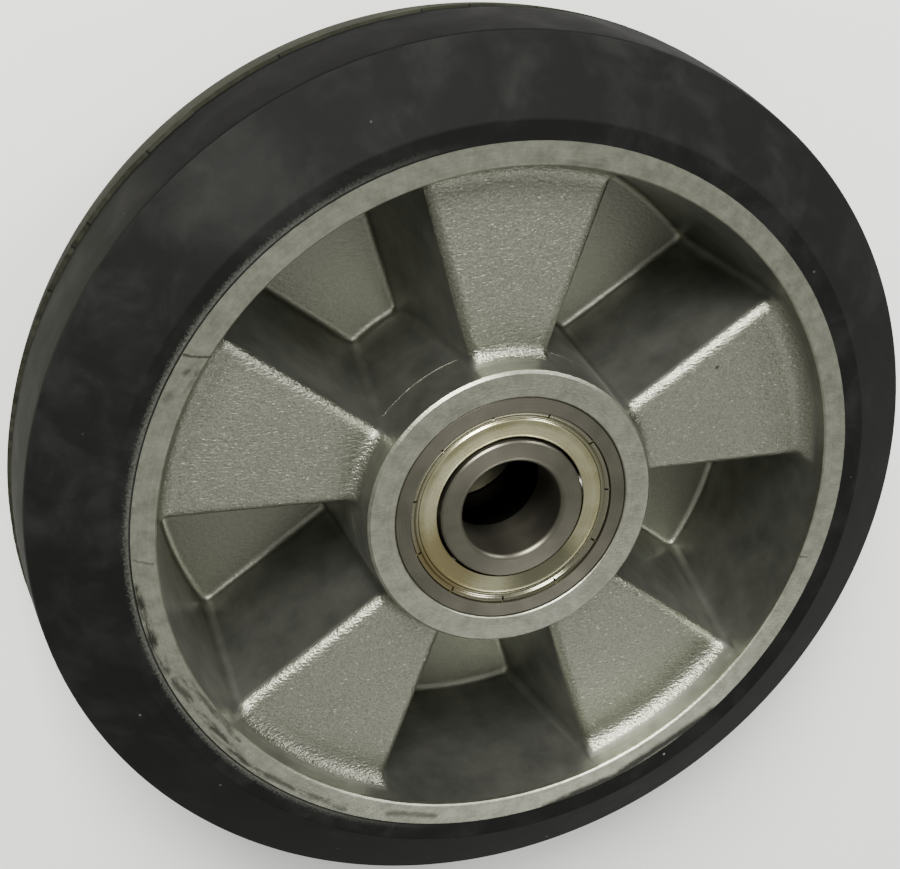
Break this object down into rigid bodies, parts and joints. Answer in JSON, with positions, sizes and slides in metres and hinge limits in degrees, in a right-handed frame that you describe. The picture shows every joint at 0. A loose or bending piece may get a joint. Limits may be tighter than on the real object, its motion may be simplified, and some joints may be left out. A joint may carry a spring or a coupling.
{
  "type": "trolley wheel",
  "caption": "Solid rubber trolley wheel on a die-cast centre with a folded web, turning on two shielded ball bearings around a plain axle bore.",
  "frame": {"origin": "centre of the wheel: on the axle axis at half the width", "axes": "+Z along the axle towards the front face of the picture; a front web panel is centred on +Y; the wheel lies on its back face"},
  "size_m": [0.1846, 0.1846, 0.05],
  "materials": {
    "cast_aluminium": "blasted die casting, with turned rim and boss faces",
    "black_rubber": "moulded black rubber, semi-matt",
    "ground_steel": "ground bearing steel",
    "ball_steel": "polished bearing steel",
    "pressed_steel": "plain pressed steel",
    "zinc_plated_shield": "pressed steel, pale yellow zinc plating"
  },
  "bodies": {
    "wheel": {"hub": "cast_aluminium", "tyre": "black_rubber", "front_outer_ring": "ground_steel", "front_shield_outer": "zinc_plated_shield", "front_shield_inner": "zinc_plated_shield", "rear_outer_ring": "ground_steel", "rear_shield_outer": "zinc_plated_shield", "rear_shield_inner": "zinc_plated_shield"},
    "front_inner_ring": {"front_inner_ring": "ground_steel"},
    "front_cage": {"front_cage_outer": "pressed_steel", "front_cage_inner": "pressed_steel", "front_cage_rivets": "pressed_steel"},
    "front_ball_1": {"front_ball_1": "ball_steel"},
    "front_ball_2": {"front_ball_2": "ball_steel"},
    "front_ball_3": {"front_ball_3": "ball_steel"},
    "front_ball_4": {"front_ball_4": "ball_steel"},
    "front_ball_5": {"front_ball_5": "ball_steel"},
    "front_ball_6": {"front_ball_6": "ball_steel"},
    "front_ball_7": {"front_ball_7": "ball_steel"},
    "front_ball_8": {"front_ball_8": "ball_steel"},
    "rear_inner_ring": {"rear_inner_ring": "ground_steel"},
    "rear_cage": {"rear_cage_outer": "pressed_steel", "rear_cage_inner": "pressed_steel", "rear_cage_rivets": "pressed_steel"},
    "rear_ball_1": {"rear_ball_1": "ball_steel"},
    "rear_ball_2": {"rear_ball_2": "ball_steel"},
    "rear_ball_3": {"rear_ball_3": "ball_steel"},
    "rear_ball_4": {"rear_ball_4": "ball_steel"},
    "rear_ball_5": {"rear_ball_5": "ball_steel"},
    "rear_ball_6": {"rear_ball_6": "ball_steel"},
    "rear_ball_7": {"rear_ball_7": "ball_steel"},
    "rear_ball_8": {"rear_ball_8": "ball_steel"}
  },
  "joints": [
    {"name": "front_inner_turn", "type": "hinge", "parent": "wheel", "child": "front_inner_ring", "pos_m": [0, 0, 0.0177], "axis": [0, 0, 1], "continuous": true},
    {"name": "front_cage_turn", "type": "hinge", "parent": "wheel", "child": "front_cage", "pos_m": [0, 0, 0.0177], "axis": [0, 0, 1], "continuous": true},
    {"name": "front_ball_1_turn", "type": "hinge", "parent": "front_cage", "child": "front_ball_1", "pos_m": [0.01675, 0, 0.0177], "axis": [0, 0, 1], "continuous": true},
    {"name": "front_ball_2_turn", "type": "hinge", "parent": "front_cage", "child": "front_ball_2", "pos_m": [0.01184, 0.01184, 0.0177], "axis": [0, 0, 1], "continuous": true},
    {"name": "front_ball_3_turn", "type": "hinge", "parent": "front_cage", "child": "front_ball_3", "pos_m": [0, 0.01675, 0.0177], "axis": [0, 0, 1], "continuous": true},
    {"name": "front_ball_4_turn", "type": "hinge", "parent": "front_cage", "child": "front_ball_4", "pos_m": [-0.01184, 0.01184, 0.0177], "axis": [0, 0, 1], "continuous": true},
    {"name": "front_ball_5_turn", "type": "hinge", "parent": "front_cage", "child": "front_ball_5", "pos_m": [-0.01675, 0, 0.0177], "axis": [0, 0, 1], "continuous": true},
    {"name": "front_ball_6_turn", "type": "hinge", "parent": "front_cage", "child": "front_ball_6", "pos_m": [-0.01184, -0.01184, 0.0177], "axis": [0, 0, 1], "continuous": true},
    {"name": "front_ball_7_turn", "type": "hinge", "parent": "front_cage", "child": "front_ball_7", "pos_m": [0, -0.01675, 0.0177], "axis": [0, 0, 1], "continuous": true},
    {"name": "front_ball_8_turn", "type": "hinge", "parent": "front_cage", "child": "front_ball_8", "pos_m": [0.01184, -0.01184, 0.0177], "axis": [0, 0, 1], "continuous": true},
    {"name": "rear_inner_turn", "type": "hinge", "parent": "wheel", "child": "rear_inner_ring", "pos_m": [0, 0, -0.0177], "axis": [0, 0, 1], "continuous": true},
    {"name": "rear_cage_turn", "type": "hinge", "parent": "wheel", "child": "rear_cage", "pos_m": [0, 0, -0.0177], "axis": [0, 0, 1], "continuous": true},
    {"name": "rear_ball_1_turn", "type": "hinge", "parent": "rear_cage", "child": "rear_ball_1", "pos_m": [-0.01675, 0, -0.0177], "axis": [0, 0, 1], "continuous": true},
    {"name": "rear_ball_2_turn", "type": "hinge", "parent": "rear_cage", "child": "rear_ball_2", "pos_m": [-0.01184, 0.01184, -0.0177], "axis": [0, 0, 1], "continuous": true},
    {"name": "rear_ball_3_turn", "type": "hinge", "parent": "rear_cage", "child": "rear_ball_3", "pos_m": [0, 0.01675, -0.0177], "axis": [0, 0, 1], "continuous": true},
    {"name": "rear_ball_4_turn", "type": "hinge", "parent": "rear_cage", "child": "rear_ball_4", "pos_m": [0.01184, 0.01184, -0.0177], "axis": [0, 0, 1], "continuous": true},
    {"name": "rear_ball_5_turn", "type": "hinge", "parent": "rear_cage", "child": "rear_ball_5", "pos_m": [0.01675, 0, -0.0177], "axis": [0, 0, 1], "continuous": true},
    {"name": "rear_ball_6_turn", "type": "hinge", "parent": "rear_cage", "child": "rear_ball_6", "pos_m": [0.01184, -0.01184, -0.0177], "axis": [0, 0, 1], "continuous": true},
    {"name": "rear_ball_7_turn", "type": "hinge", "parent": "rear_cage", "child": "rear_ball_7", "pos_m": [0, -0.01675, -0.0177], "axis": [0, 0, 1], "continuous": true},
    {"name": "rear_ball_8_turn", "type": "hinge", "parent": "rear_cage", "child": "rear_ball_8", "pos_m": [-0.01184, -0.01184, -0.0177], "axis": [0, 0, 1], "continuous": true}
  ],
  "couplings": [
    {"joint": "front_cage_turn", "follows": "front_inner_turn", "ratio": 0.38152},
    {"joint": "front_ball_1_turn", "follows": "front_inner_turn", "ratio": -1.9916},
    {"joint": "front_ball_2_turn", "follows": "front_inner_turn", "ratio": -1.9916},
    {"joint": "front_ball_3_turn", "follows": "front_inner_turn", "ratio": -1.9916},
    {"joint": "front_ball_4_turn", "follows": "front_inner_turn", "ratio": -1.9916},
    {"joint": "front_ball_5_turn", "follows": "front_inner_turn", "ratio": -1.9916},
    {"joint": "front_ball_6_turn", "follows": "front_inner_turn", "ratio": -1.9916},
    {"joint": "front_ball_7_turn", "follows": "front_inner_turn", "ratio": -1.9916},
    {"joint": "front_ball_8_turn", "follows": "front_inner_turn", "ratio": -1.9916},
    {"joint": "rear_cage_turn", "follows": "rear_inner_turn", "ratio": 0.38152},
    {"joint": "rear_ball_1_turn", "follows": "rear_inner_turn", "ratio": -1.9916},
    {"joint": "rear_ball_2_turn", "follows": "rear_inner_turn", "ratio": -1.9916},
    {"joint": "rear_ball_3_turn", "follows": "rear_inner_turn", "ratio": -1.9916},
    {"joint": "rear_ball_4_turn", "follows": "rear_inner_turn", "ratio": -1.9916},
    {"joint": "rear_ball_5_turn", "follows": "rear_inner_turn", "ratio": -1.9916},
    {"joint": "rear_ball_6_turn", "follows": "rear_inner_turn", "ratio": -1.9916},
    {"joint": "rear_ball_7_turn", "follows": "rear_inner_turn", "ratio": -1.9916},
    {"joint": "rear_ball_8_turn", "follows": "rear_inner_turn", "ratio": -1.9916}
  ]
}
